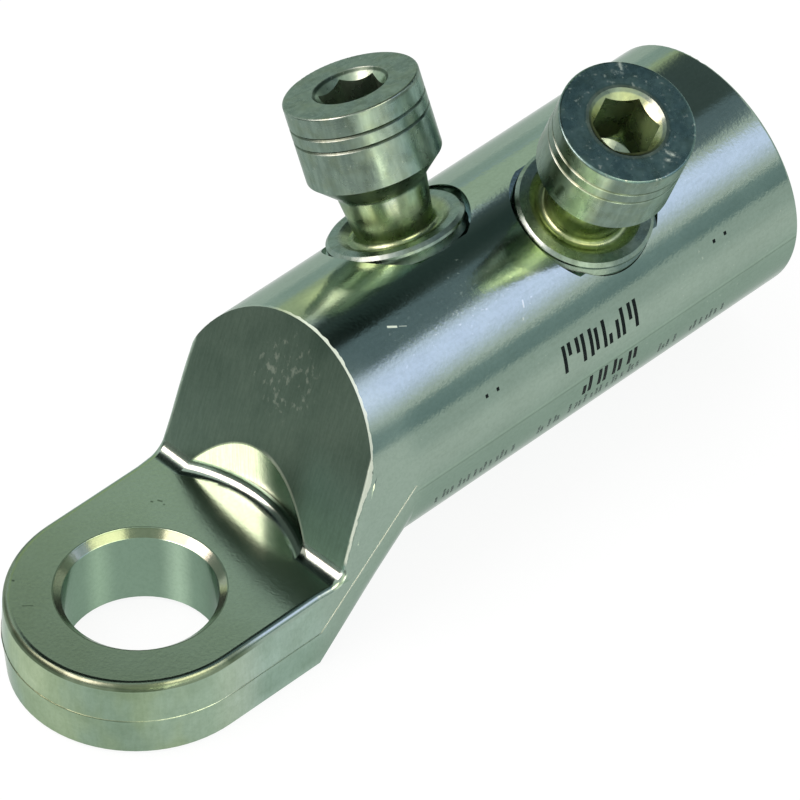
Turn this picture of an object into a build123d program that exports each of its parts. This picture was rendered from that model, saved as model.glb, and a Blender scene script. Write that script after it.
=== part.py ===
from build123d import *
import math
import os

# Mechanical cable lug with two shear bolts, in millimetres.
# The origin is the centre of the stud hole on the palm's underside.
# +X runs from the palm to the barrel's mouth and +Z up to the bolts' side.

# Palm, the flat tongue that goes under the stud's nut
palm_thickness = 7.8
palm_half_width = 11.0
palm_nose_reach = 11.35
palm_edge_break = 0.25
stud_hole_radius = 6.5
stud_hole_top_chamfer = 0.65
stud_hole_bottom_chamfer = 0.4

# Forging: the sides swell towards the parting line at half the palm's height
parting_height = 3.9
parting_swell = 0.25

# Barrel, the round socket for the conductor
barrel_radius = 11.5
barrel_axis_height = 13.6
barrel_mouth_x = 65.2
barrel_mouth_rounding = 0.3

# Forged transition from the palm's rectangle to the barrel's round
transition_start_x = 9.7
transition_end_x = 20.4
transition_corner_angle = 36.0
transition_corner_blend = 3.0
transition_spring_height = 16.95

# Sloping shoulder above the palm, and the round relief for the nut's washer
shoulder_foot_x = 12.3
shoulder_angle = 69.3
top_edge_rounding = 0.65
shoulder_root_radius = 1.6
washer_relief_radius = 14.35
washer_relief_offset_y = 0.7
washer_relief_root_radius = 1.1

# Blind conductor bore with oxide-breaking grooves
bore_radius = 8.0
bore_depth = 41.6
bore_point_angle = 118.0
bore_mouth_chamfer = 0.6
groove_pitch = 2.32
groove_depth = 0.35
groove_half_width = 0.5
groove_count = 12
groove_first_from_end = 3.0

# Shear bolt: cylindrical head, tapered neck and threaded clamping part.
# Heights are measured up the bolt's axis from the rim of the threaded part.
head_radius = 5.85
head_top = 13.0
head_foot = 5.9
head_edge_rounding = 0.2
mark_groove_depth = 0.14
mark_groove_half_width = 0.16
mark_groove_drops = (2.0, 3.25)
socket_across_flats = 5.0
socket_depth = 6.6
socket_point_angle = 118.0
socket_lead_radius = 3.3
socket_lead_depth = 0.65
neck_top_radius = 3.9
neck_root_radius = 3.25
neck_blend_radius = 0.8
neck_root_blend_radius = 0.5
dish_depth = 1.05
rim_inner_radius = 4.85
rim_outer_radius = 5.7
thread_radius = 6.0
thread_pitch = 1.25
thread_depth = 0.6
thread_crest = 0.25
thread_length = 9.6
tip_chamfer = 1.1

# Tapped holes for the bolts
thread_clearance = 0.05
thread_relief_radius = 6.45
thread_relief_depth = 1.6

# Where each bolt stands: along the barrel, its lean from +Z towards -Y,
# how far its axis passes beside the barrel's, the height of its rim above
# the barrel's axis, and the turn of its socket
bolts = {
    "inner_shear_bolt": dict(x=33.36, lean=-23.0, beside=0.2, rim=11.25, turn=10.0),
    "outer_shear_bolt": dict(x=46.4, lean=21.4, beside=-0.75, rim=11.05, turn=25.0),
}


def bolt_location(x, lean, beside, rim, turn):
    """Frame of a bolt: its origin on the rim plane and its +Z up the axis."""
    axis_point = Location((x, beside, barrel_axis_height))
    return axis_point * Rot(X=lean) * Pos(Z=rim) * Rot(Z=turn)


def side_levels():
    """Heights up the palm's side, each with how far it stands past the edge."""
    return [
        (0, -palm_edge_break),
        (palm_edge_break, 0),
        (parting_height, parting_swell),
        (palm_thickness, 0),
    ]


def palm_outline(z, swell):
    """Palm seen from above at one level: straight sides and a round nose."""
    half = palm_half_width + swell
    nose_x = palm_half_width - palm_nose_reach
    end_x = transition_start_x
    return Wire(
        [
            Line((end_x, half, z), (nose_x, half, z)),
            ThreePointArc((nose_x, half, z), (nose_x - half, 0, z), (nose_x, -half, z)),
            Line((nose_x, -half, z), (end_x, -half, z)),
            Line((end_x, -half, z), (end_x, half, z)),
        ]
    )


def palm():
    outlines = [palm_outline(z, swell) for z, swell in side_levels()]
    layers = [Solid.make_loft(pair, ruled=True) for pair in zip(outlines, outlines[1:])]
    return Part() + layers


def flat_sided_section():
    """Section where the transition starts: the palm's sides under the arch."""
    right = [(palm_half_width + swell, z) for z, swell in side_levels()]
    right.append((palm_half_width, transition_spring_height))
    left = [(-y, z) for y, z in reversed(right)]

    def at(y, z):
        return (transition_start_x, y, z)

    crown = at(0, barrel_axis_height + barrel_radius)
    sides = [Line(at(*a), at(*b)) for a, b in zip(right, right[1:])]
    arch = ThreePointArc(at(*right[-1]), crown, at(*left[0]))
    other_sides = [Line(at(*a), at(*b)) for a, b in zip(left, left[1:])]
    floor = Line(at(*left[-1]), at(*right[0]))
    return Wire([*sides, arch, *other_sides, floor])


def round_section():
    """Section where the transition ends: the barrel's circle in matching arcs."""
    spring = (transition_spring_height - barrel_axis_height) / barrel_radius
    arch = math.degrees(math.asin(spring))
    corner = transition_corner_angle
    blend = transition_corner_blend
    right = [-corner - blend, -corner + blend, 0, arch / 2, arch]
    ends = right + [180 - angle for angle in reversed(right)] + [right[0] + 360]

    def at(angle):
        a = math.radians(angle)
        y = barrel_radius * math.cos(a)
        return (transition_end_x, y, barrel_axis_height + barrel_radius * math.sin(a))

    arcs = []
    for start, end in zip(ends, ends[1:]):
        arcs.append(ThreePointArc(at(start), at((start + end) / 2), at(end)))
    return Wire(arcs)


def forged_transition():
    """Ruled blend of the palm's flat-sided section into the barrel's circle."""
    return Solid.make_loft([flat_sided_section(), round_section()], ruled=True)


def barrel():
    foot = (transition_end_x, 0, barrel_axis_height)
    plane = Plane(foot, x_dir=(0, 1, 0), z_dir=(1, 0, 0))
    tube = extrude(plane * Circle(barrel_radius), barrel_mouth_x - transition_end_x)
    return fillet(tube.edges().sort_by(Axis.X)[-1], barrel_mouth_rounding)


def shoulder_cutter():
    """What is cleared above the palm, with the root radius along its foot."""
    rise = barrel_axis_height + 2 * barrel_radius - palm_thickness
    reach = rise / math.tan(math.radians(shoulder_angle))
    back = -2 * palm_half_width
    corners = [
        (shoulder_foot_x, palm_thickness),
        (shoulder_foot_x + reach, palm_thickness + rise),
        (back, palm_thickness + rise),
        (back, palm_thickness),
    ]
    section = Plane.XZ * make_face(Polyline(*corners, close=True))
    slab = extrude(section, 2 * palm_half_width, both=True)
    foot = (shoulder_foot_x, 0, palm_thickness)
    root = slab.edges().filter_by(Axis.Y).sort_by_distance(foot)[0]
    return fillet(root, shoulder_root_radius)


def round_top_edge(blank):
    """Rounds the rim that runs round the palm's top and up over the shoulder."""
    rim = blank.edges().sort_by_distance((-palm_nose_reach, 0, palm_thickness))[0]
    return fillet(rim, top_edge_rounding)


def washer_relief_cutter():
    """Round pocket about the stud hole that a washer or socket wrench needs."""
    height = 2 * barrel_radius
    centre = Pos(0, washer_relief_offset_y, palm_thickness)
    relief = centre * extrude(Circle(washer_relief_radius), height)
    return fillet(relief.edges().sort_by(Axis.Z)[0], washer_relief_root_radius)


def stud_hole_cutter():
    r = stud_hole_radius
    profile = Polyline(
        (0, 0),
        (r + stud_hole_bottom_chamfer, 0),
        (r, stud_hole_bottom_chamfer),
        (r, palm_thickness - stud_hole_top_chamfer),
        (r + stud_hole_top_chamfer, palm_thickness),
        (0, palm_thickness),
        close=True,
    )
    return revolve(Plane.XZ * make_face(profile), Axis.Z)


def bore_cutter():
    """Drilled blind bore with V grooves round its wall and a chamfered mouth."""
    r = bore_radius
    end = barrel_mouth_x - bore_depth
    point = r / math.tan(math.radians(bore_point_angle / 2))
    points = [(end - point, 0), (end, r)]
    for i in range(groove_count):
        x = end + groove_first_from_end + i * groove_pitch
        points += [(x - groove_half_width, r), (x, r + groove_depth), (x + groove_half_width, r)]
    points += [
        (barrel_mouth_x - bore_mouth_chamfer, r),
        (barrel_mouth_x, r + bore_mouth_chamfer),
        (barrel_mouth_x, 0),
    ]
    profile = Plane.XZ * make_face(Polyline(*points, close=True))
    return Pos(Z=barrel_axis_height) * revolve(profile, Axis.X)


def bolt_hole_cutter(place):
    """Tapped hole with the first turns relieved at the barrel's surface."""
    outside = 2 * barrel_radius
    inside = -place["rim"]
    relief_floor = barrel_radius - place["rim"] - thread_relief_depth
    tapped = Pos(Z=inside) * extrude(Circle(thread_radius + thread_clearance), outside)
    relief = Pos(Z=relief_floor) * extrude(Circle(thread_relief_radius), outside)
    return bolt_location(**place) * (tapped + relief)


def lug_body():
    blank = palm() + forged_transition() + barrel()
    cleared = blank - (shoulder_cutter() + washer_relief_cutter())
    body = round_top_edge(cleared)
    body -= stud_hole_cutter()
    body -= bore_cutter()
    for place in bolts.values():
        body -= bolt_hole_cutter(place)
    return body


def bolt_profile():
    """Half section of the shear bolt, from its tip up to its head."""
    tip = -thread_length
    thread_top = rim_outer_radius - thread_radius
    points = [(0, tip), (thread_radius - tip_chamfer, tip), (thread_radius, tip + tip_chamfer)]
    turns = int((thread_top - tip - tip_chamfer - thread_crest) / thread_pitch)
    foot = thread_top - turns * thread_pitch
    for i in range(turns):
        z = foot + i * thread_pitch
        flank = (thread_pitch - thread_crest) / 2
        points += [(thread_radius, z), (thread_radius - thread_depth, z + flank)]
        points += [(thread_radius, z + 2 * flank)]
    points += [
        (thread_radius, thread_top),
        (rim_outer_radius, 0),
        (rim_inner_radius, 0),
        (neck_root_radius, -dish_depth),
        (neck_top_radius, head_foot - (head_radius - neck_top_radius)),
        (head_radius, head_foot),
    ]
    for drop in reversed(mark_groove_drops):
        z = head_top - drop
        points += [
            (head_radius, z - mark_groove_half_width),
            (head_radius - mark_groove_depth, z),
            (head_radius, z + mark_groove_half_width),
        ]
    points += [(head_radius, head_top), (0, head_top)]
    profile = make_face(Polyline(*points, close=True))
    neck_top = (neck_top_radius, head_foot - (head_radius - neck_top_radius))
    for corner, radius in (
        ((head_radius, head_top), head_edge_rounding),
        (neck_top, neck_blend_radius),
        ((neck_root_radius, -dish_depth), neck_root_blend_radius),
    ):
        vertex = profile.vertices().sort_by_distance((*corner, 0))[0]
        profile = fillet(vertex, radius)
    return profile


def socket_cutter():
    """Hexagon socket with a conical lead-in."""
    corner_radius = socket_across_flats / math.sqrt(3)
    floor = head_top - socket_depth
    hexagon = Pos(Z=floor) * extrude(RegularPolygon(corner_radius, 6), socket_depth)
    inner_radius = socket_across_flats / 2
    point = inner_radius / math.tan(math.radians(socket_point_angle / 2))
    drilled = Polyline((0, floor), (inner_radius, floor), (0, floor - point), close=True)
    lead = Polyline(
        (0, head_top),
        (socket_lead_radius, head_top),
        (socket_lead_radius - 2 * socket_lead_depth, head_top - 2 * socket_lead_depth),
        (0, head_top - 2 * socket_lead_depth),
        close=True,
    )
    rounds = revolve(Plane.XZ * make_face(lead), Axis.Z)
    rounds += revolve(Plane.XZ * make_face(drilled), Axis.Z)
    return hexagon + rounds


def shear_bolt(place):
    bolt = revolve(Plane.XZ * bolt_profile(), Axis.Z)
    bolt -= socket_cutter()
    return bolt_location(**place) * bolt


os.makedirs("parts", exist_ok=True)
export_step(lug_body(), "parts/lug_body.step")
for name, place in bolts.items():
    export_step(shear_bolt(place), f"parts/{name}.step")
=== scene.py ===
import math

import bmesh
import bpy
from mathutils import Matrix, Vector


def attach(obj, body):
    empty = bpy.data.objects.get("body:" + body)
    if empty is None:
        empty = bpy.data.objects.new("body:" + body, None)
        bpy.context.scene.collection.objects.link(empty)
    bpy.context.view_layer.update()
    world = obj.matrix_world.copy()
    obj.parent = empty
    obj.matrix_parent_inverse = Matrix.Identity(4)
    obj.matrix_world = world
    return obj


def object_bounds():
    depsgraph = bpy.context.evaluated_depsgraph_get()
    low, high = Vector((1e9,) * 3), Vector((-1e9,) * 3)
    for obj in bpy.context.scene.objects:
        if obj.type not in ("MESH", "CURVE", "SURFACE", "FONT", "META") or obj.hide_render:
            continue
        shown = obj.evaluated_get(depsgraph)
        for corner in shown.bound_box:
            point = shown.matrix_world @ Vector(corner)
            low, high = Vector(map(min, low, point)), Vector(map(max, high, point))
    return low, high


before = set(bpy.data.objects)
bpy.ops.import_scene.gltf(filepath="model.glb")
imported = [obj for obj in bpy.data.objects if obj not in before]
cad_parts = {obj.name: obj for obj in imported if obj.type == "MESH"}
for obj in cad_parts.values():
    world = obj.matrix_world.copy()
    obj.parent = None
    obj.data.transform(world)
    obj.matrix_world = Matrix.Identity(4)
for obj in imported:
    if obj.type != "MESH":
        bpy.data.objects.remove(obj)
cad_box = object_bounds()

MM = 0.001
WHITE = (1, 1, 1)

# Sizes of the part's source, in metres
PARTING_HEIGHT = 3.9 * MM
PARTING_HALF_WIDTH = 11.25 * MM
NOSE_CENTRE_X = -0.35 * MM
BARREL_RADIUS = 11.5 * MM
BARREL_AXIS_HEIGHT = 13.6 * MM
TRANSITION_START_X = 9.7 * MM
TRANSITION_END_X = 20.4 * MM

# The lamp and the reflection cards stand round this point
OBJECT_MIDDLE = Vector((27 * MM, 0, 15 * MM))


# Camera of the photograph: place in metres, angles in degrees. Azimuth 0 looks along +Y, and 90 along +X.
CAMERA_PLACE = Vector((-0.30483, -0.35350, 0.46989))
CAMERA_AZIMUTH = 43.402
CAMERA_DOWN = 43.420
CAMERA_ROLL = -0.643
CAMERA_LENS = 361.33
CAMERA_SENSOR = 36


def add_to_scene(thing):
    bpy.context.scene.collection.objects.link(thing)


def add_camera():
    azimuth = math.radians(CAMERA_AZIMUTH)
    down = math.radians(CAMERA_DOWN)
    roll = math.radians(CAMERA_ROLL)
    level = math.cos(down)
    forward = Vector((math.sin(azimuth) * level, math.cos(azimuth) * level, -math.sin(down)))
    side = Vector((math.cos(azimuth), -math.sin(azimuth), 0))
    up = side.cross(forward)
    right = side * math.cos(roll) + up * math.sin(roll)
    above = right.cross(forward)
    data = bpy.data.cameras.new("camera")
    data.lens = CAMERA_LENS
    data.sensor_width = CAMERA_SENSOR
    data.clip_start = 10 * MM
    camera = bpy.data.objects.new("camera", data)
    turn = Matrix((right, above, -forward)).transposed().to_4x4()
    camera.matrix_world = Matrix.Translation(CAMERA_PLACE) @ turn
    add_to_scene(camera)
    bpy.context.scene.camera = camera


# Fields: numbers that vary over a surface, worked out by the nodes of its material


def connect(value, target):
    """Links a field or a socket to the target, or sets a number or a colour there."""
    if isinstance(value, (int, float)):
        target.default_value = value
    elif isinstance(value, tuple):
        target.default_value = (*value, 1)
    else:
        source = value.socket if isinstance(value, Field) else value
        target.id_data.links.new(source, target)


def calculate(tree, operation, *values):
    node = tree.nodes.new("ShaderNodeMath")
    node.operation = operation
    for value, socket in zip(values, node.inputs):
        connect(value, socket)
    return Field(node.outputs[0])


class Field:
    """A number, or a vector, that varies over a surface."""

    def __init__(self, socket):
        self.socket = socket
        self.tree = socket.id_data

    def __sub__(self, other):
        return calculate(self.tree, "SUBTRACT", self, other)

    def __rsub__(self, number):
        return calculate(self.tree, "SUBTRACT", number, self)

    def __mul__(self, other):
        return calculate(self.tree, "MULTIPLY", self, other)

    def times_plus(self, factor, addend):
        return calculate(self.tree, "MULTIPLY_ADD", self, factor, addend)

    def angle_from(self, other):
        """Degrees from the other field's direction towards this one's."""
        return calculate(self.tree, "ARCTAN2", self, other) * math.degrees(1)

    def ramp(self, low, high, to_low, to_high):
        """Goes smoothly from to_low at low to to_high at high, and is level outside them."""
        node = self.tree.nodes.new("ShaderNodeMapRange")
        node.interpolation_type = "SMOOTHSTEP"
        node.inputs["From Min"].default_value = low
        node.inputs["From Max"].default_value = high
        node.inputs["To Min"].default_value = to_low
        node.inputs["To Max"].default_value = to_high
        connect(self, node.inputs["Value"])
        return Field(node.outputs["Result"])

    def rise(self, start, end):
        """0 up to the start and 1 from the end, which may be the smaller number."""
        return self.ramp(start, end, 0, 1)

    def fall(self, start, end):
        return self.ramp(start, end, 1, 0)

    def between(self, low, high, soft=0.05):
        """1 where the field lies from low to high, with soft ends."""
        return self.rise(low - soft, low + soft) * self.fall(high - soft, high + soft)


def all_of(first, *others):
    for other in others:
        first = first * other
    return first


def any_of(first, *others):
    for other in others:
        first = calculate(first.tree, "MAXIMUM", first, other)
    return first


def distance(u, v, middle_u=0.0, middle_v=0.0):
    across = u - middle_u
    along = v - middle_v
    return calculate(u.tree, "SQRT", across.times_plus(across, along * along))


def stroke(u, v, start, end, width, soft=0.06):
    """1 on a short straight stroke from start to end in the plane of u and v."""
    length = math.dist(start, end)
    cosine = (end[0] - start[0]) / length
    sine = (end[1] - start[1]) / length
    du = u - start[0]
    dv = v - start[1]
    along = du.times_plus(cosine, dv * sine)
    across = dv.times_plus(cosine, du * -sine)
    return along.between(0, length, soft) * across.between(-width / 2, width / 2, soft)


def strokes(u, v, rows):
    return any_of(*[stroke(u, v, *row) for row in rows])


def noise(place, scale, detail):
    node = place.tree.nodes.new("ShaderNodeTexNoise")
    node.inputs["Scale"].default_value = scale
    node.inputs["Detail"].default_value = detail
    connect(place, node.inputs["Vector"])
    return Field(node.outputs["Fac"])


def stretched_noise(x, y, z, detail):
    """Noise over coordinates that are scaled one by one, so that it can run in lines."""
    node = x.tree.nodes.new("ShaderNodeCombineXYZ")
    for value, socket in zip((x, y, z), node.inputs):
        connect(value, socket)
    return noise(Field(node.outputs[0]), 1, detail)


def blended(mask, low, high, blend="MIX"):
    """A colour that goes from low to high by the mask."""
    node = mask.tree.nodes.new("ShaderNodeMix")
    node.data_type = "RGBA"
    node.blend_type = blend
    connect(mask, node.inputs[0])
    connect(low, node.inputs[6])
    connect(high, node.inputs[7])
    return node.outputs[2]


def varied(mask, colour, spread):
    """The colour, made darker where the mask is 0 and lighter where it is 1."""
    dark = tuple(c * (1 - spread) for c in colour)
    light = tuple(c * (1 + spread) for c in colour)
    return blended(mask, dark, light)


class Paint:
    """A colour that varies with a cloud, and that zones then tint one after another."""

    def __init__(self, cloud, colour, spread):
        self.socket = varied(cloud, colour, spread)

    def tint(self, zone, tint):
        self.socket = blended(zone, self.socket, tint, "MULTIPLY")


# Materials and meshes


def new_material(name):
    material = bpy.data.materials.new(name)
    material.use_nodes = True
    material.node_tree.nodes.clear()
    return material


def shader(tree, kind, inputs):
    """A shader node, with its inputs by name."""
    node = tree.nodes.new(kind)
    for name, value in inputs.items():
        connect(value, node.inputs[name])
    return node.outputs[0]


def mixed_shader(mask, low, high):
    node = mask.tree.nodes.new("ShaderNodeMixShader")
    for value, socket in zip((mask, low, high), node.inputs):
        connect(value, socket)
    return node.outputs[0]


def set_surface(tree, surface, output="ShaderNodeOutputMaterial"):
    connect(surface, tree.nodes.new(output).inputs["Surface"])


def new_object(name, edit, material):
    """Turns the mesh that is being edited into an object of the scene."""
    mesh = bpy.data.meshes.new(name)
    edit.to_mesh(mesh)
    edit.free()
    mesh.materials.append(material)
    thing = bpy.data.objects.new(name, mesh)
    add_to_scene(thing)
    return thing


# Stage: a white world and floor, a soft lamp, and reflection cards that only gloss sees

WORLD_LIGHT = 0.8
FLOOR_SHADE = 0.14
FLOOR_GLOW = 0.89
FLOOR_RADIUS = 4
FLOOR_GAP = 0.02 * MM
LAMP_SIZE = 0.9
LAMP_POWER = 4
LAMP_OFFSET = Vector((-0.35, 0.25, 1.1))
BACKGROUND_RAYS = ("Is Camera Ray", "Is Glossy Ray", "Is Transmission Ray")


def background_seen(tree):
    """1 for rays that see the white background, and 0 for those that only carry its light."""
    light_path = tree.nodes.new("ShaderNodeLightPath")
    return any_of(*[Field(light_path.outputs[ray]) for ray in BACKGROUND_RAYS])


def set_world():
    world = bpy.data.worlds.new("world")
    bpy.context.scene.world = world
    world.use_nodes = True
    tree = world.node_tree
    tree.nodes.clear()
    lit = shader(tree, "ShaderNodeBackground", {"Color": WHITE, "Strength": WORLD_LIGHT})
    seen = shader(tree, "ShaderNodeBackground", {"Color": WHITE, "Strength": 1})
    set_surface(tree, mixed_shader(background_seen(tree), lit, seen), "ShaderNodeOutputWorld")


def floor_material():
    """Grey enough to show a shadow, with a glow that makes it white for what sees it."""
    material = new_material("floor_white")
    tree = material.node_tree
    clouds = tree.nodes.new("ShaderNodeTexNoise")
    clouds.inputs["Scale"].default_value = 4
    plain = (FLOOR_SHADE, FLOOR_SHADE, FLOOR_SHADE)
    cool = (FLOOR_SHADE * 0.99, FLOOR_SHADE, FLOOR_SHADE)
    shade = blended(Field(clouds.outputs["Fac"]), plain, cool)
    diffuse = shader(tree, "ShaderNodeBsdfDiffuse", {"Color": shade})
    strength = background_seen(tree) * FLOOR_GLOW
    glow = shader(tree, "ShaderNodeEmission", {"Color": WHITE, "Strength": strength})
    both = tree.nodes.new("ShaderNodeAddShader")
    connect(diffuse, both.inputs[0])
    connect(glow, both.inputs[1])
    set_surface(tree, both.outputs[0])
    return material


def add_floor():
    edit = bmesh.new()
    bmesh.ops.create_circle(edit, cap_ends=True, radius=FLOOR_RADIUS, segments=96)
    floor = new_object("floor", edit, floor_material())
    floor.location.z = cad_box[0][2] - FLOOR_GAP


def add_soft_lamp():
    data = bpy.data.lights.new("soft_lamp", "AREA")
    data.shape = "DISK"
    data.size = LAMP_SIZE
    data.energy = LAMP_POWER
    lamp = bpy.data.objects.new("soft_lamp", data)
    lamp.location = OBJECT_MIDDLE + LAMP_OFFSET
    lamp.rotation_euler = (OBJECT_MIDDLE - lamp.location).to_track_quat("-Z", "Y").to_euler()
    lamp.visible_glossy = False
    add_to_scene(lamp)


def card_material(name, colour, fade):
    """Glows in the card's colour, and fades to clear at its edges."""
    material = new_material(name)
    tree = material.node_tree
    place = tree.nodes.new("ShaderNodeUVMap")
    split = tree.nodes.new("ShaderNodeSeparateXYZ")
    connect(place.outputs[0], split.inputs[0])
    rises = []
    for axis in (0, 1):
        from_edge = calculate(tree, "PINGPONG", split.outputs[axis], 0.5)
        rises.append(from_edge.rise(0, fade[axis]))
    glow = shader(tree, "ShaderNodeEmission", {"Color": colour, "Strength": 1})
    clear = shader(tree, "ShaderNodeBsdfTransparent", {})
    set_surface(tree, mixed_shader(all_of(*rises), clear, glow))
    return material


CARD_STEPS = 12


def add_card(name, azimuths, elevations, colour, away, fade):
    """A curved card round the object. Azimuths run from +X to +Y, in degrees, as do elevations."""
    edit = bmesh.new()
    uv_layer = edit.loops.layers.uv.new("UVMap")
    grid = []
    for i in range(CARD_STEPS + 1):
        row = []
        for j in range(CARD_STEPS + 1):
            azimuth = math.radians(azimuths[0] + (azimuths[1] - azimuths[0]) * i / CARD_STEPS)
            elevation = math.radians(elevations[0] + (elevations[1] - elevations[0]) * j / CARD_STEPS)
            level = math.cos(elevation)
            out = Vector((math.cos(azimuth) * level, math.sin(azimuth) * level, math.sin(elevation)))
            row.append(edit.verts.new(OBJECT_MIDDLE + out * away))
        grid.append(row)
    for i in range(CARD_STEPS):
        for j in range(CARD_STEPS):
            corners = ((i, j), (i + 1, j), (i + 1, j + 1), (i, j + 1))
            face = edit.faces.new([grid[a][b] for a, b in corners])
            for loop, (a, b) in zip(face.loops, corners):
                loop[uv_layer].uv = (a / CARD_STEPS, b / CARD_STEPS)
    card = new_object(name, edit, card_material(name, colour, fade))
    card.visible_camera = False
    card.visible_diffuse = False
    card.visible_transmission = False
    card.visible_shadow = False


# Each card: azimuths, elevations, colour, metres away, and how much of it fades at each edge
CARDS = {
    "tent": ((-180, 180), (-1, 89), (0.42, 0.45, 0.44), 1.3, (0, 0.02)),
    "far_side_low": ((34, 84), (-1, 24), (0.70, 0.78, 0.79), 1.22, (0.15, 0.2)),
    "far_side_high": ((34, 84), (14, 44), (0.90, 0.92, 0.62), 1.2, (0.15, 0.12)),
    "dark_flag_overhead": ((-62, 124), (46, 86), (0.26, 0.32, 0.40), 1.1, (0.06, 0.08)),
    "dark_flag_core": ((-2, 134), (48, 88), (0.03, 0.04, 0.04), 1.0, (0.05, 0.09)),
    "mouth_side_flag": ((-8, 43), (18, 64), (0.12, 0.15, 0.16), 0.12, (0.12, 0.1)),
    "window": ((-66, -38), (15, 58), (1.7, 1.65, 2.55), 0.95, (0.15, 0.45)),
    "cream_light_left": ((131, 193), (18, 55), (10.0, 7.1, 7.4), 0.95, (0.06, 0.08)),
    "cream_light_near": ((-116, -62), (35, 60), (7.0, 5.6, 4.6), 0.95, (0.06, 0.08)),
    "cream_strip": ((-152, -74), (4, 30), (1.7, 1.6, 1.35), 0.5, (0.12, 0.15)),
    "cream_strip_core": ((-122, -105), (-10, 12), (7.5, 6.8, 5.4), 0.45, (0.3, 0.25)),
    "cream_strip_side": ((-112, -76), (-12, 8), (2.4, 2.3, 2.2), 0.4, (0.35, 0.25)),
    "dim_far_side": ((-76, 10), (-3, 16), (0.43, 0.53, 0.58), 0.9, (0.08, 0.2)),
    "low_flag_left": ((-180, -128), (-7, 5), (0.40, 0.42, 0.40), 0.12, (0.1, 0.2)),
    "incline_flag": ((114, 180), (-22, 17), (0.25, 0.30, 0.27), 0.085, (0.1, 0.1)),
}


def add_cards():
    for name, card in CARDS.items():
        add_card(name, *card)


# Metal. From here to the scene's pieces, sizes are in millimetres and angles in degrees.

EDGE_SHEEN = (0.62, 0.68, 0.64)
# Pale, dull colour and metalness of worn spots, also used for the painted edge highlight on the body
WEAR_AND_EDGE_HIGHLIGHT_COLOUR = (0.84, 0.92, 0.76)
WEAR_AND_EDGE_HIGHLIGHT_METALLIC = 0.1
BARREL_AXIS = BARREL_AXIS_HEIGHT / MM
ARC_PER_DEGREE = 0.2


class Place:
    """Where a point lies on the object."""

    def __init__(self, tree):
        coordinates = tree.nodes.new("ShaderNodeTexCoord")
        scale = tree.nodes.new("ShaderNodeVectorMath")
        scale.operation = "SCALE"
        scale.inputs["Scale"].default_value = 1 / MM
        connect(coordinates.outputs["Object"], scale.inputs[0])
        split = tree.nodes.new("ShaderNodeSeparateXYZ")
        connect(scale.outputs[0], split.inputs[0])
        self.whole = Field(scale.outputs[0])
        self.x, self.y, self.z = [Field(socket) for socket in split.outputs]


def finish_metal(tree, paint, roughness, height, bump_size, worn):
    """Metal, but dull and pale where it is worn, and on the body also along the painted edge highlight. The
    bumps are bump_size high where height is 1.
    """
    bump = tree.nodes.new("ShaderNodeBump")
    bump.inputs["Distance"].default_value = bump_size * MM
    connect(height, bump.inputs["Height"])
    metal = {
        "Base Color": blended(worn, paint.socket, WEAR_AND_EDGE_HIGHLIGHT_COLOUR),
        "Metallic": worn.ramp(0, 1, 1, WEAR_AND_EDGE_HIGHLIGHT_METALLIC),
        "Roughness": roughness,
        "Specular Tint": EDGE_SHEEN,
        "Normal": bump.outputs["Normal"],
    }
    set_surface(tree, shader(tree, "ShaderNodeBsdfPrincipled", metal))


# Metal of the forged body

BODY_TINT = (0.285, 0.372, 0.306)
BODY_SPREAD = 0.1
BODY_ROUGHNESS = 0.17
BODY_BUMP = 0.008
FLASH_DULLING = 0.2

HOLE_RADIUS = 6.5
RELIEF_RADIUS = 14.35
RELIEF_OFFSET_Y = 0.7
SLOPE_FOOT = (12.3, 7.8)
SLOPE_ANGLE = 69.3
SPECKLE_MIDDLE = (0.3, 20.2)

# Short marks, each with both ends and its width: dark dents on the palm's top, over x and y
PALM_DENTS = (
    ((7.5, 6.9), (7.6, 6.7), 0.16),
    ((8.0, 6.6), (8.2, 6.2), 0.14),
    ((8.0, 5.9), (8.1, 5.8), 0.14),
    ((-8.3, 5.2), (-7.6, 4.6), 0.08),
    ((-6.9, 8.0), (-6.8, 7.8), 0.16),
)

# Pale nicks on the barrel, over x and the arc from its top, each with its strength as well
BARREL_NICKS = (
    ((24.0, 4.45), (24.75, 4.9), 0.2, 1),
    ((24.9, 4.95), (25.5, 5.3), 0.08, 0.7),
    ((35.7, 9.35), (35.95, 8.75), 0.1, 0.6),
    ((35.1, 10.2), (35.2, 10.0), 0.12, 0.5),
)

# Light and shade along the barrel's top: from where to where along it, from where to where round it,
# each with how soft its ends are, and the tint
BARREL_LIGHTS = {
    "glow_before_inner_bolt": ((21, 31, 1.5), (-12, 5, 4), (1.75, 1.65, 1.45)),
    "glow_before_outer_bolt": ((38, 43.5, 1.5), (27, 37, 2.5), (2.6, 2.3, 1.9)),
    "blue_behind_bolts": ((35, 60, 3), (-17, 2, 4), (1.0, 1.05, 1.35)),
    "shade_between_bolts": ((19, 47, 4), (6, 17, 4), (0.5, 0.58, 0.56)),
}


class BodyPlace(Place):
    """Adds the angle round the barrel, from its top towards the photograph's side, the arc that it
    makes, and the distances from the axes of the stud hole and of the relief round it."""

    def __init__(self, tree):
        super().__init__(tree)
        self.angle = (self.y * -1).angle_from(self.z - BARREL_AXIS)
        self.arc = self.angle * ARC_PER_DEGREE
        self.from_hole = distance(self.x, self.y)
        self.from_relief = distance(self.x, self.y, 0, RELIEF_OFFSET_Y)


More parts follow.
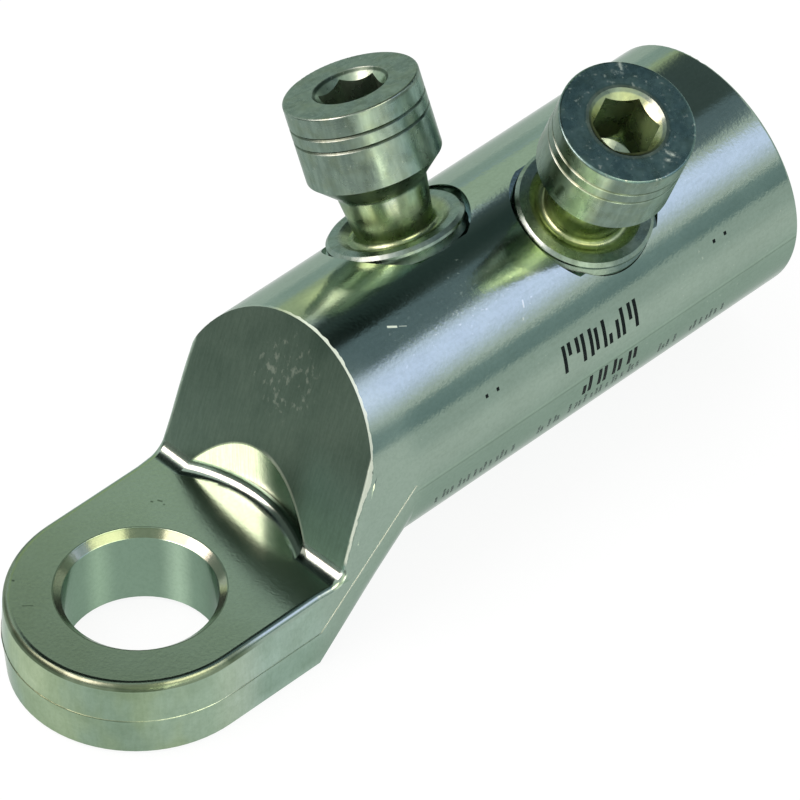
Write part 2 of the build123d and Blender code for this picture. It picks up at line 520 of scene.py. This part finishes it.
def paint_palm_top(paint, at):
    """The palm's top, and the hole's chamfer and wall, with painted light and shade round the wall. Gives
    the dull stretches of the chamfer.
    """
    top = all_of(at.z.between(7.72, 7.9), at.x.fall(12.6, 13.2))
    paint.tint(top, (0.80, 0.87, 0.80))
    towards_nose = at.x.fall(-11, 9)
    paint.tint(all_of(top, towards_nose), (0.76, 0.76, 0.70))
    on_chamfer = at.from_hole.between(HOLE_RADIUS + 0.02, HOLE_RADIUS + 0.62, 0.02)
    chamfer = all_of(on_chamfer, at.z.rise(7.0, 7.1))
    paint.tint(chamfer, (0.48, 0.50, 0.38))
    round_chamfer = at.from_hole.between(HOLE_RADIUS + 0.66, HOLE_RADIUS + 0.74, 0.03)
    paint.tint(all_of(top, round_chamfer), (0.45, 0.47, 0.42))
    wall = at.from_hole.fall(HOLE_RADIUS + 0.01, HOLE_RADIUS + 0.05)
    turn = at.y.angle_from(at.x)
    paint.tint(wall, (0.68, 0.78, 0.70))
    # Painted highlights on two stretches of the hole's wall, and painted shade on a third
    paint.tint(all_of(wall, turn.between(12, 27, 9)), (1.95, 1.8, 1.8))
    paint.tint(all_of(wall, turn.between(73, 88, 9)), (1.5, 1.45, 1.4))
    paint.tint(all_of(wall, turn.fall(-25, 5)), (0.62, 0.62, 0.62))
    return all_of(chamfer, any_of(turn.fall(4, 16), turn.rise(92, 104)))


def paint_palm_side(paint, at):
    """The side of the palm and its nose, with painted light and shade, and the rim above it, which is
    given.
    """
    side = all_of(at.x.fall(8, 12), at.z.fall(6.9, 7.4), at.from_hole.rise(8, 9))
    paint.tint(side, (1.14, 1.17, 1.2))
    paint.tint(all_of(side, at.x.fall(-2, 4)), (0.98, 0.98, 0.87))
    lines = stretched_noise(at.x * 3, at.y * 3, at.z * 0.5, 4)
    paint.tint(all_of(side, lines.rise(0.35, 0.7)), (0.93, 0.94, 0.92))
    clouds = stretched_noise(at.x * 0.3, at.y * 0.3, at.z * 0.45, 3)
    paint.tint(all_of(side, clouds.rise(0.35, 0.65)), (0.88, 0.89, 0.86))
    low_shade = all_of(side, at.z.between(0.8, 3.6, 0.6), at.x.rise(1, 4))
    paint.tint(low_shade, (0.82, 0.86, 0.83))
    light_before_nose = all_of(side, at.x.between(-1.5, 2.5, 1.5))
    paint.tint(light_before_nose, (1.30, 1.20, 1.24))
    nose_shade = all_of(side, at.y.between(-9.2, -4, 2), at.x.rise(-3, -5))
    paint.tint(nose_shade, (0.72, 0.76, 0.74))
    # Painted light on the far half of the palm's side, above its foot
    far_nose_light = all_of(side, at.y.rise(-2, 0), at.z.rise(3, 5))
    paint.tint(far_nose_light, (1.35, 1.28, 1.3))
    patches = stretched_noise(at.x * 0.22, at.y * 0.22, at.z * 0.1, 2)
    warm_nose = all_of(side, at.x.fall(-5, -2), patches.rise(0.42, 0.58))
    paint.tint(warm_nose, (1.06, 1.02, 0.90))
    # Painted shade: the rim near the nose is darkened, more so in patches, which dims and breaks its
    # highlight
    rim = all_of(at.z.between(7.1, 7.72, 0.05), at.from_hole.rise(9, 10), at.x.fall(0, 4))
    paint.tint(rim, (0.62, 0.62, 0.50))
    paint.tint(all_of(rim, patches.rise(0.44, 0.56)), (0.5, 0.54, 0.5))
    return rim


def paint_relief(paint, at):
    """The wall turned round the stud hole, lightened both for its turned finish and as a painted highlight,
    with painted shade on its near half and in the fillet at its root.
    """
    wall = all_of(at.from_relief.fall(RELIEF_RADIUS + 0.01, RELIEF_RADIUS + 0.04), at.z.rise(8.75, 8.95))
    # Lighter for its turned finish and as a painted highlight
    paint.tint(wall, (2.35, 1.9, 1.95))
    near_half = at.y.fall(-1.6, 0.6)
    # Painted shade on the near half of the wall
    paint.tint(all_of(wall, near_half), (0.36, 0.42, 0.36))
    on_fillet = at.from_relief.between(RELIEF_RADIUS - 1.3, RELIEF_RADIUS + 0.02, 0.06)
    root = all_of(on_fillet, at.z.between(7.84, 8.86, 0.04))
    # Painted shade in the fillet's root, on the near half
    paint.tint(all_of(root, near_half, at.y.rise(-7.4, -6.8)), (0.16, 0.18, 0.17))
    lines = stretched_noise(at.x, at.y * 9, at.z * 0.3, 2)
    paint.tint(all_of(wall, lines.rise(0.35, 0.65)), (0.85, 0.87, 0.84))


def paint_slope(paint, at):
    """The inclined face. Gives its zone, its brushing, its pale speckles and the painted highlight along
    its edges.
    """
    sine = math.sin(math.radians(SLOPE_ANGLE))
    cosine = math.cos(math.radians(SLOPE_ANGLE))
    up_slope = at.z.times_plus(sine, at.x * cosine)
    off_slope = at.z.times_plus(-cosine, at.x * sine)
    level = SLOPE_FOOT[0] * sine - SLOPE_FOOT[1] * cosine
    slope = all_of(off_slope.between(level - 0.05, level + 0.05, 0.02), at.z.rise(8.2, 9))
    brush = stretched_noise(at.y * 5.5, up_slope * 0.55, off_slope, 2)
    paint.tint(all_of(slope, brush.rise(0.3, 0.7)), (0.88, 0.89, 0.89))
    # Painted shade: the whole face is darkened
    paint.tint(slope, (0.40, 0.46, 0.43))
    # Painted light on its low near corner
    slope_low_corner_light = all_of(slope, at.y.rise(-3, -6), at.z.rise(18, 10))
    paint.tint(slope_low_corner_light, (1.9, 2.1, 2.2))

    speckle_field = stretched_noise(at.y * 1.9, up_slope * 1.2, off_slope, 6)
    near_middle = distance(at.y, at.z, *SPECKLE_MIDDLE).fall(1.5, 6.5)
    over = speckle_field - (0.72 - near_middle * 0.2)
    speckles = all_of(slope, over.rise(0, 0.16), near_middle.ramp(0, 1, 0.05, 0.17))

    # Painted highlight: a pale, dull strip of uneven width along the slope's edge by the barrel, and one
    # along the relief wall, in place of light caught on a rounded edge
    width = noise(at.whole, 0.9, 2) * at.z.ramp(13, 18, 0.16, 0.5)
    barrel_edge_highlight = all_of(
        calculate(width.tree, "LESS_THAN", off_slope - width, level),
        off_slope.rise(level, level + 0.03),
        at.z.rise(9.0, 9.6),
        at.from_relief.rise(RELIEF_RADIUS + 0.1, RELIEF_RADIUS + 0.3),
    )
    by_relief = at.from_relief.rise(RELIEF_RADIUS + 0.12, RELIEF_RADIUS + 0.05)
    relief_edge_highlight = all_of(slope, by_relief, at.y.ramp(1, -1, 0, 0.3))
    painted_edge_highlight = any_of(all_of(barrel_edge_highlight, at.y.ramp(5, -1, 0.1, 1)), relief_edge_highlight)
    return slope, brush, speckles, painted_edge_highlight


def paint_barrel(paint, at):
    """Wear, light and shade, and the parting line. Gives the barrel's zone."""
    barrel = all_of(at.x.rise(19, 22), at.z.rise(7.9, 9))
    wear = stretched_noise(at.x * 0.5, at.arc * 4, at.z, 3)
    paint.tint(all_of(barrel, wear.rise(0.45, 0.75)), (0.95, 0.95, 0.94))
    for along, around, tint in BARREL_LIGHTS.values():
        paint.tint(all_of(at.x.between(*along), at.angle.between(*around)), tint)
    band = at.angle.between(61, 75, 5)
    paint.tint(all_of(barrel, band), (0.78, 0.82, 0.82))
    # Painted shade: darker underneath
    underneath = at.angle.rise(84, 98)
    paint.tint(all_of(barrel, underneath), (0.83, 0.87, 0.86))
    either_side = calculate(at.angle.tree, "ABSOLUTE", at.angle)
    parting = either_side.between(93.7, 94.3, 0.3)
    paint.tint(all_of(barrel, parting), (0.74, 0.76, 0.72))
    # Painted highlight: a lighter line beside the parting line
    light_by_parting = either_side.between(92.3, 93.0, 0.3)
    paint.tint(all_of(barrel, light_by_parting), (1.12, 1.12, 1.1))
    return barrel


def barrel_spots(at, barrel, cloud):
    """Small pale spots, more of them on the dusty stretch beside the outer bolt."""
    dusty = all_of(at.angle.between(14, 40, 5), at.x.rise(50, 40))
    over = noise(at.whole, 3.3, 2) - dusty.times_plus(-0.07, 0.71)
    return all_of(barrel, over.rise(0, 0.07), cloud.rise(0.35, 0.55))


def barrel_nicks(at):
    nicks = []
    for start, end, width, strength in BARREL_NICKS:
        nicks.append(stroke(at.x, at.arc, start, end, width) * strength)
    return any_of(*nicks)


def body_material(name, is_flash=False):
    """Metal of the body. On the flash it is rougher, darker beside the nose, and worn on the transition."""
    material = new_material(name)
    tree = material.node_tree
    at = BodyPlace(tree)
    cloud = noise(at.whole, 0.18, 4)
    paint = Paint(cloud, BODY_TINT, BODY_SPREAD)
    mottle = noise(at.whole, 3.2, 5).rise(0.36, 0.68)
    paint.tint(mottle, (0.93, 0.94, 0.93))
    dull_chamfer = paint_palm_top(paint, at)
    rim = paint_palm_side(paint, at)
    paint_relief(paint, at)
    slope, brush, speckles, painted_edge_highlight = paint_slope(paint, at)
    barrel = paint_barrel(paint, at)
    spots = barrel_spots(at, barrel, cloud) * 0.3
    # Pale and dull: pale speckles, spots, nicks and dull chamfer stretches, and the painted edge highlight
    worn = any_of(speckles, spots, barrel_nicks(at), dull_chamfer * 0.22, painted_edge_highlight)
    dents = all_of(strokes(at.x, at.y, PALM_DENTS), at.z.between(7.7, 7.9))
    paint.tint(dents, (0.3, 0.34, 0.3))
    dulling = 0
    if is_flash:
        dulling = FLASH_DULLING
        beside_nose = any_of(at.y.rise(-9, -7), at.x.rise(-2, 1))
        paint.tint(beside_nose, (0.4, 0.43, 0.38))
        rubbed = noise(at.whole, 0.8, 2).ramp(0.3, 0.5, 0.45, 0.8)
        worn = all_of(at.x.rise(9.4, 10.2), rubbed)

    grain = stretched_noise(at.x * 3.8, at.arc * 2.8, at.z, 3)
    height = noise(at.whole, 5, 2).times_plus(0.35, noise(at.whole, 2.4, 3) * 0.5)
    height = all_of(grain, barrel).times_plus(0.9, height)
    height = all_of(brush, slope).times_plus(0.9, height)
    smooth = BODY_ROUGHNESS * 0.85 + dulling
    rough = BODY_ROUGHNESS * 1.15 + dulling
    roughness = cloud.ramp(0.3, 0.7, smooth, rough)
    roughness = slope.times_plus(0.17, roughness)
    roughness = barrel.times_plus(-0.04, roughness)
    roughness = rim.times_plus(0.12, roughness)
    finish_metal(tree, paint, roughness, height, BODY_BUMP, worn)
    return material


# Metal of the shear bolts

BOLT_TINT = (0.200, 0.270, 0.222)
BOLT_SPREAD = 0.28
BOLT_ROUGHNESS = 0.27
BOLT_BUMP = 0.011

SOCKET_REACH = 2.95
SOCKET_START = 17.5
GROOVE_REACH = (5.2, 5.81)
GROOVE_SPAN = (18.6, 23.7)
HEAD_ARC_PER_DEGREE = 0.1

# Marks on the outer bolt, each with both ends, its width and how soft it is: smudges on its head's
# left, over the arc and the height, and scratches on its crown, over the two ways across it
SMUDGES = (
    ((17.9, 17.6), (18.2, 19.4), 0.5, 0.25),
    ((17.5, 22.4), (18.2, 21.2), 0.45, 0.25),
)
CROWN_SCRATCHES = (
    ((0.6, -3.6), (1.3, -5.0), 0.26, 0.22),
    ((0.2, -4.4), (0.6, -4.9), 0.2, 0.2),
    ((3.4, 4.8), (2.8, 3.7), 0.2, 0.22),
    ((2.2, 4.4), (2.5, 4.0), 0.2, 0.2),
)


class BoltPlace(Place):
    """Adds the height up a bolt's axis from the barrel's, the places along the barrel and beside
    the bolt, the distance from its axis and the angle round it, from +X towards its upper side."""

    def __init__(self, tree, middle_x, middle_y, lean):
        super().__init__(tree)
        sine = math.sin(math.radians(lean))
        cosine = math.cos(math.radians(lean))
        dy = self.y - middle_y
        dz = self.z - BARREL_AXIS
        self.up = dz.times_plus(cosine, dy * -sine)
        self.along = self.x - middle_x
        self.beside = dy.times_plus(cosine, dz * sine)
        self.reach = distance(self.along, self.beside)
        self.turn = calculate(tree, "WRAP", self.beside.angle_from(self.along), 360, 0)


def paint_inner_bolt(paint, at):
    """Light on the left of the neck. Nothing more is worn here."""
    neck_light = all_of(at.turn.between(232, 247, 5), at.up.between(13.6, 16, 0.5))
    paint.tint(neck_light, (2.9, 2.5, 2.8))
    return ()


def paint_outer_bolt(paint, at):
    """Blue crown and smudged side. Gives the dust and the scratches that wear the crown."""
    crown = all_of(at.up.rise(23.86, 23.98), at.reach.rise(3.5, 3.6))
    paint.tint(crown, (0.60, 0.76, 0.86))
    smudges = strokes(at.turn * HEAD_ARC_PER_DEGREE, at.up, SMUDGES)
    paint.tint(all_of(smudges, at.reach.rise(5.1, 5.3)), (0.3, 0.32, 0.26))
    dust = stretched_noise(at.along * 1.9, at.beside * 1.9, at.up, 3).rise(0.60, 0.72)
    scratches = strokes(at.along, at.beside, CROWN_SCRATCHES)
    broken = noise(at.whole, 2.2, 4).rise(0.36, 0.6)
    return all_of(crown, dust) * 0.3, all_of(crown, scratches, broken) * 0.75


# Each bolt: place along the barrel, place beside the barrel's axis and lean from +Z towards -Y, then
# the tints of its socket, of the socket's mouth and of the lighter, yellower foot of its neck, the
# painted light and shade on its turned side, each from one angle to another with soft ends, and what is
# painted on it alone
BOLTS = {
    "inner_shear_bolt": {
        "axis": (33.36, 0.2, -23.0),
        "socket": (1.0, 1.2, 1.0),
        "mouth": (0.36, 0.42, 0.36),
        "foot": (1.15, 1.15, 0.8),
        "sides": (((262, 312, 9), (1.3, 1.4, 1.45)),),
        "own_paint": paint_inner_bolt,
    },
    "outer_shear_bolt": {
        "axis": (46.4, -0.75, 21.4),
        "socket": (1.5, 1.4, 0.8),
        "mouth": (0.85, 0.85, 0.8),
        "foot": (1.35, 1.3, 0.82),
        "sides": (
            ((188, 214, 6), (3.0, 2.7, 2.3)),
            ((168, 184, 6), (0.62, 0.64, 0.56)),
            ((258, 300, 8), (1.08, 1.15, 1.15)),
        ),
        "own_paint": paint_outer_bolt,
    },
}


def bolt_material(node):
    bolt = BOLTS[node]
    material = new_material("tinned_bolt_" + node)
    tree = material.node_tree
    at = BoltPlace(tree, *bolt["axis"])
    cloud = noise(at.whole, 0.55, 5)
    paint = Paint(cloud, BOLT_TINT, BOLT_SPREAD)
    stain = noise(at.whole, 0.9, 4).rise(0.4, 0.75)
    paint.tint(stain, (0.90, 0.88, 0.80))
    in_socket = at.reach.fall(SOCKET_REACH, SOCKET_REACH + 0.15)
    socket = all_of(in_socket, at.up.rise(SOCKET_START, SOCKET_START + 0.2))
    paint.tint(socket, bolt["socket"])
    mouth = all_of(at.reach.between(SOCKET_REACH + 0.1, 3.7, 0.05), at.up.between(22.5, 24.2, 0.03))
    paint.tint(mouth, bolt["mouth"])
    foot = all_of(at.up.fall(13.5, 16.5), at.reach.fall(4.4, 5.0))
    paint.tint(foot, bolt["foot"])
    collar = all_of(at.up.fall(12.6, 13.0), at.reach.rise(4.7, 5.3))
    paint.tint(collar, (1.05, 1.08, 1.12))
    side = all_of(at.up.rise(12.9, 13.2), at.up.fall(23.75, 23.9), at.reach.rise(3.6, 3.8))
    # Painted highlights and shade: each turned side is lighter or darker from one angle to another round
    # the axis
    for angles, tint in bolt["sides"]:
        paint.tint(all_of(side, at.turn.between(*angles)), tint)
    worn_marks = bolt["own_paint"](paint, at)
    # Painted shade in the grooves round the head
    grooves = all_of(at.reach.between(*GROOVE_REACH, 0.02), at.up.between(*GROOVE_SPAN))
    paint.tint(grooves, (0.4, 0.42, 0.38))
    streaks = stretched_noise(at.along * 2.4, at.beside * 2.4, at.up * 0.55, 3)
    paint.tint(streaks.rise(0.35, 0.65), (0.80, 0.82, 0.82))

    specks = noise(at.whole, 2.6, 3).rise(0.68, 0.78) * 0.25
    worn = any_of(specks, socket * 0.12, *worn_marks)
    rings = stretched_noise(at.up * 6, at.reach * 4, at.beside * 0.05, 2)
    height = rings.times_plus(0.35, noise(at.whole, 1.6, 4))
    roughness = cloud.ramp(0.3, 0.7, BOLT_ROUGHNESS * 0.85, BOLT_ROUGHNESS * 1.25)
    finish_metal(tree, paint, roughness, height, BOLT_BUMP, worn)
    return material


def paint_cad_nodes(metal):
    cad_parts["lug_body"].material_slots[0].material = metal
    for node in BOLTS:
        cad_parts[node].material_slots[0].material = bolt_material(node)


# Pieces of the scene


def new_piece(name, edit, material):
    piece = new_object(name, edit, material)
    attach(piece, "lug")
    return piece


TRANSITION_STEPS = 14
SIDE_STEPS = 16
NOSE_STEPS = 64


def parting_stations():
    """Points along the forging's parting line, each with its outward direction."""
    sides = []
    for side in (-1, 1):
        start = Vector((TRANSITION_END_X, side * BARREL_RADIUS, BARREL_AXIS_HEIGHT))
        corner = Vector((TRANSITION_START_X, side * PARTING_HALF_WIDTH, PARTING_HEIGHT))
        nose = Vector((NOSE_CENTRE_X, side * PARTING_HALF_WIDTH, PARTING_HEIGHT))
        out = Vector((0, side, 0))
        run = [(start.lerp(corner, i / TRANSITION_STEPS), out) for i in range(TRANSITION_STEPS)]
        run += [(corner.lerp(nose, i / SIDE_STEPS), out) for i in range(SIDE_STEPS)]
        sides.append(run)
    centre = Vector((NOSE_CENTRE_X, 0, PARTING_HEIGHT))
    round_nose = []
    for i in range(NOSE_STEPS + 1):
        turn = math.radians(-90 - 180 * i / NOSE_STEPS)
        out = Vector((math.cos(turn), math.sin(turn), 0))
        round_nose.append((centre + out * PARTING_HALF_WIDTH, out))
    return sides[0] + round_nose + sides[1][::-1]


PARTING_RIDGE_WIDTH = 0.26 * MM
PARTING_RIDGE_HEIGHT = 0.045 * MM
PARTING_RIDGE_ROOT = 0.06 * MM
PARTING_RIDGE_TOP_SHARE = 0.3


def add_parting_ridge(metal):
    """Thin worn flash that stands along the parting line, and is uneven in height."""
    edit = bmesh.new()
    stations = parting_stations()
    rows = []
    travelled = 0.0
    for i, (point, out) in enumerate(stations):
        before = stations[max(i - 1, 0)][0]
        after = stations[min(i + 1, len(stations) - 1)][0]
        travelled += (point - before).length / MM
        across = (after - before).normalized().cross(out)
        uneven = 0.75 + 0.2 * math.sin(1.7 * travelled) + 0.15 * math.sin(4.1 * travelled)
        top = point + out * PARTING_RIDGE_HEIGHT * uneven
        root = point - out * PARTING_RIDGE_ROOT
        wide = across * PARTING_RIDGE_WIDTH / 2
        narrow = wide * PARTING_RIDGE_TOP_SHARE
        profile = (root - wide, top - narrow, top + narrow, root + wide)
        rows.append([edit.verts.new(corner) for corner in profile])
    for row, following in zip(rows, rows[1:]):
        for j in range(4):
            k = (j + 1) % 4
            edit.faces.new((row[j], row[k], following[k], following[j]))
    edit.faces.new(rows[0][::-1])
    edit.faces.new(rows[-1])
    bmesh.ops.recalc_face_normals(edit, faces=edit.faces)
    new_piece("parting_ridge", edit, metal)


INK_LIFT = 0.012 * MM
INK_SPREAD = 0.4
INK_BAR_STEPS = 6


def ink_material(name, colour, cover, gloss):
    """Dull ink that lets the metal through where it is thin."""
    material = new_material(name)
    tree = material.node_tree
    patches = noise(Place(tree).whole, 4.5, 3)
    look = {
        "Base Color": varied(patches, colour, INK_SPREAD),
        "Roughness": patches.ramp(0.2, 0.8, 0.4, 0.6),
        "Specular IOR Level": gloss,
    }
    ink = shader(tree, "ShaderNodeBsdfPrincipled", look)
    clear = shader(tree, "ShaderNodeBsdfTransparent", {})
    set_surface(tree, mixed_shader(patches.ramp(0.3, 0.5, *cover), clear, ink))
    return material


def add_ink_bar(edit, start, end, width):
    """A bar on the barrel. Each end is a place along it in mm and degrees round it from the top."""
    reach = BARREL_RADIUS + INK_LIFT
    arc_per_degree = math.radians(1) * BARREL_RADIUS / MM
    run = Vector((end[0] - start[0], (end[1] - start[1]) * arc_per_degree))
    aside = Vector((-run.y, run.x)).normalized() * width / 2
    rows = []
    for i in range(INK_BAR_STEPS + 1):
        share = i / INK_BAR_STEPS
        row = []
        for sign in (-1, 1):
            along = start[0] + run.x * share + sign * aside.x
            angle = math.radians(start[1] + (run.y * share + sign * aside.y) / arc_per_degree)
            y = -reach * math.sin(angle)
            z = BARREL_AXIS_HEIGHT + reach * math.cos(angle)
            row.append(edit.verts.new((along * MM, y, z)))
        rows.append(row)
    for row, following in zip(rows, rows[1:]):
        edit.faces.new((row[0], row[1], following[1], following[0]))


# Plain bars where the photograph shows print. Each row has its start along the barrel and the spacing
# of its marks, its top and bottom in degrees, and each mark's two bars as shares of the row's height.
PRINT_ROWS = (
    {
        "start": 37.75,
        "spacing": 1.52,
        "top": 70.6,
        "bottom": 84.0,
        "marks": (
            ((0, 1), (0, 0.45)),
            ((0, 0.55), (0, 1)),
            ((0, 1), (0.1, 0.9)),
            ((0, 1), (0.62, 1)),
            ((0.3, 1), (0, 1)),
            ((0, 0.6), (0, 1)),
        ),
    },
    {
        "start": 39.95,
        "spacing": 1.75,
        "top": 94.7,
        "bottom": 104.2,
        "marks": (
            ((0.4, 1), (0, 1)),
            ((0, 1), (0, 1)),
            ((0, 1), (0.2, 1)),
            ((0.1, 1), (0.1, 0.8)),
        ),
    },
)
PRINT_BAR_WIDTH = 0.36
PRINT_BAR_SPACING = 0.64
PRINT_DOTS = ((57.01, 68.8), (55.68, 69.1), (30.33, 70.3), (29.08, 70.2))
PRINT_DOT_WIDTH = 0.28
PRINT_DOT_HALF_HEIGHT = 0.8

# A third, worn row, in stretches from one place along the barrel to another
WORN_ROW_SPANS = ((23.2, 32.6), (35.0, 37.4), (38.6, 47.2), (49.2, 51.4), (53.0, 57.2))
WORN_ROW_TOP = 107.5
WORN_ROW_BOTTOM = 113.5
WORN_BAR_WIDTH = 0.26
WORN_BAR_SLANT = 0.2


def add_print():
    edit = bmesh.new()
    for row in PRINT_ROWS:
        tall = row["bottom"] - row["top"]
        for i, bars in enumerate(row["marks"]):
            for j, (upper, lower) in enumerate(bars):
                along = row["start"] + i * row["spacing"] + j * PRINT_BAR_SPACING
                high = row["top"] + tall * upper
                low = row["top"] + tall * lower
                add_ink_bar(edit, (along, high), (along, low), PRINT_BAR_WIDTH)
    for along, angle in PRINT_DOTS:
        high = angle - PRINT_DOT_HALF_HEIGHT
        low = angle + PRINT_DOT_HALF_HEIGHT
        add_ink_bar(edit, (along, high), (along, low), PRINT_DOT_WIDTH)
    new_piece("print_marks", edit, ink_material("ink", (0.008, 0.014, 0.014), (0.85, 1.0), 0.05))


def add_worn_print():
    edit = bmesh.new()
    count = 0
    for first, last in WORN_ROW_SPANS:
        along = first
        while along < last:
            count += 1
            top = WORN_ROW_TOP + 1.6 * math.sin(2.3 * count)
            foot = along + WORN_BAR_SLANT
            add_ink_bar(edit, (along, top), (foot, WORN_ROW_BOTTOM), WORN_BAR_WIDTH)
            along += 0.62 + 0.22 * math.sin(1.9 * count)
    new_piece("worn_print_marks", edit, ink_material("worn_ink", (0.05, 0.09, 0.09), (0.0, 0.5), 0.3))


add_camera()
set_world()
add_floor()
add_soft_lamp()
add_cards()
paint_cad_nodes(body_material("tinned_body"))
add_parting_ridge(body_material("tinned_flash", is_flash=True))
add_print()
add_worn_print()

bpy.context.scene.view_settings.view_transform = "Standard"
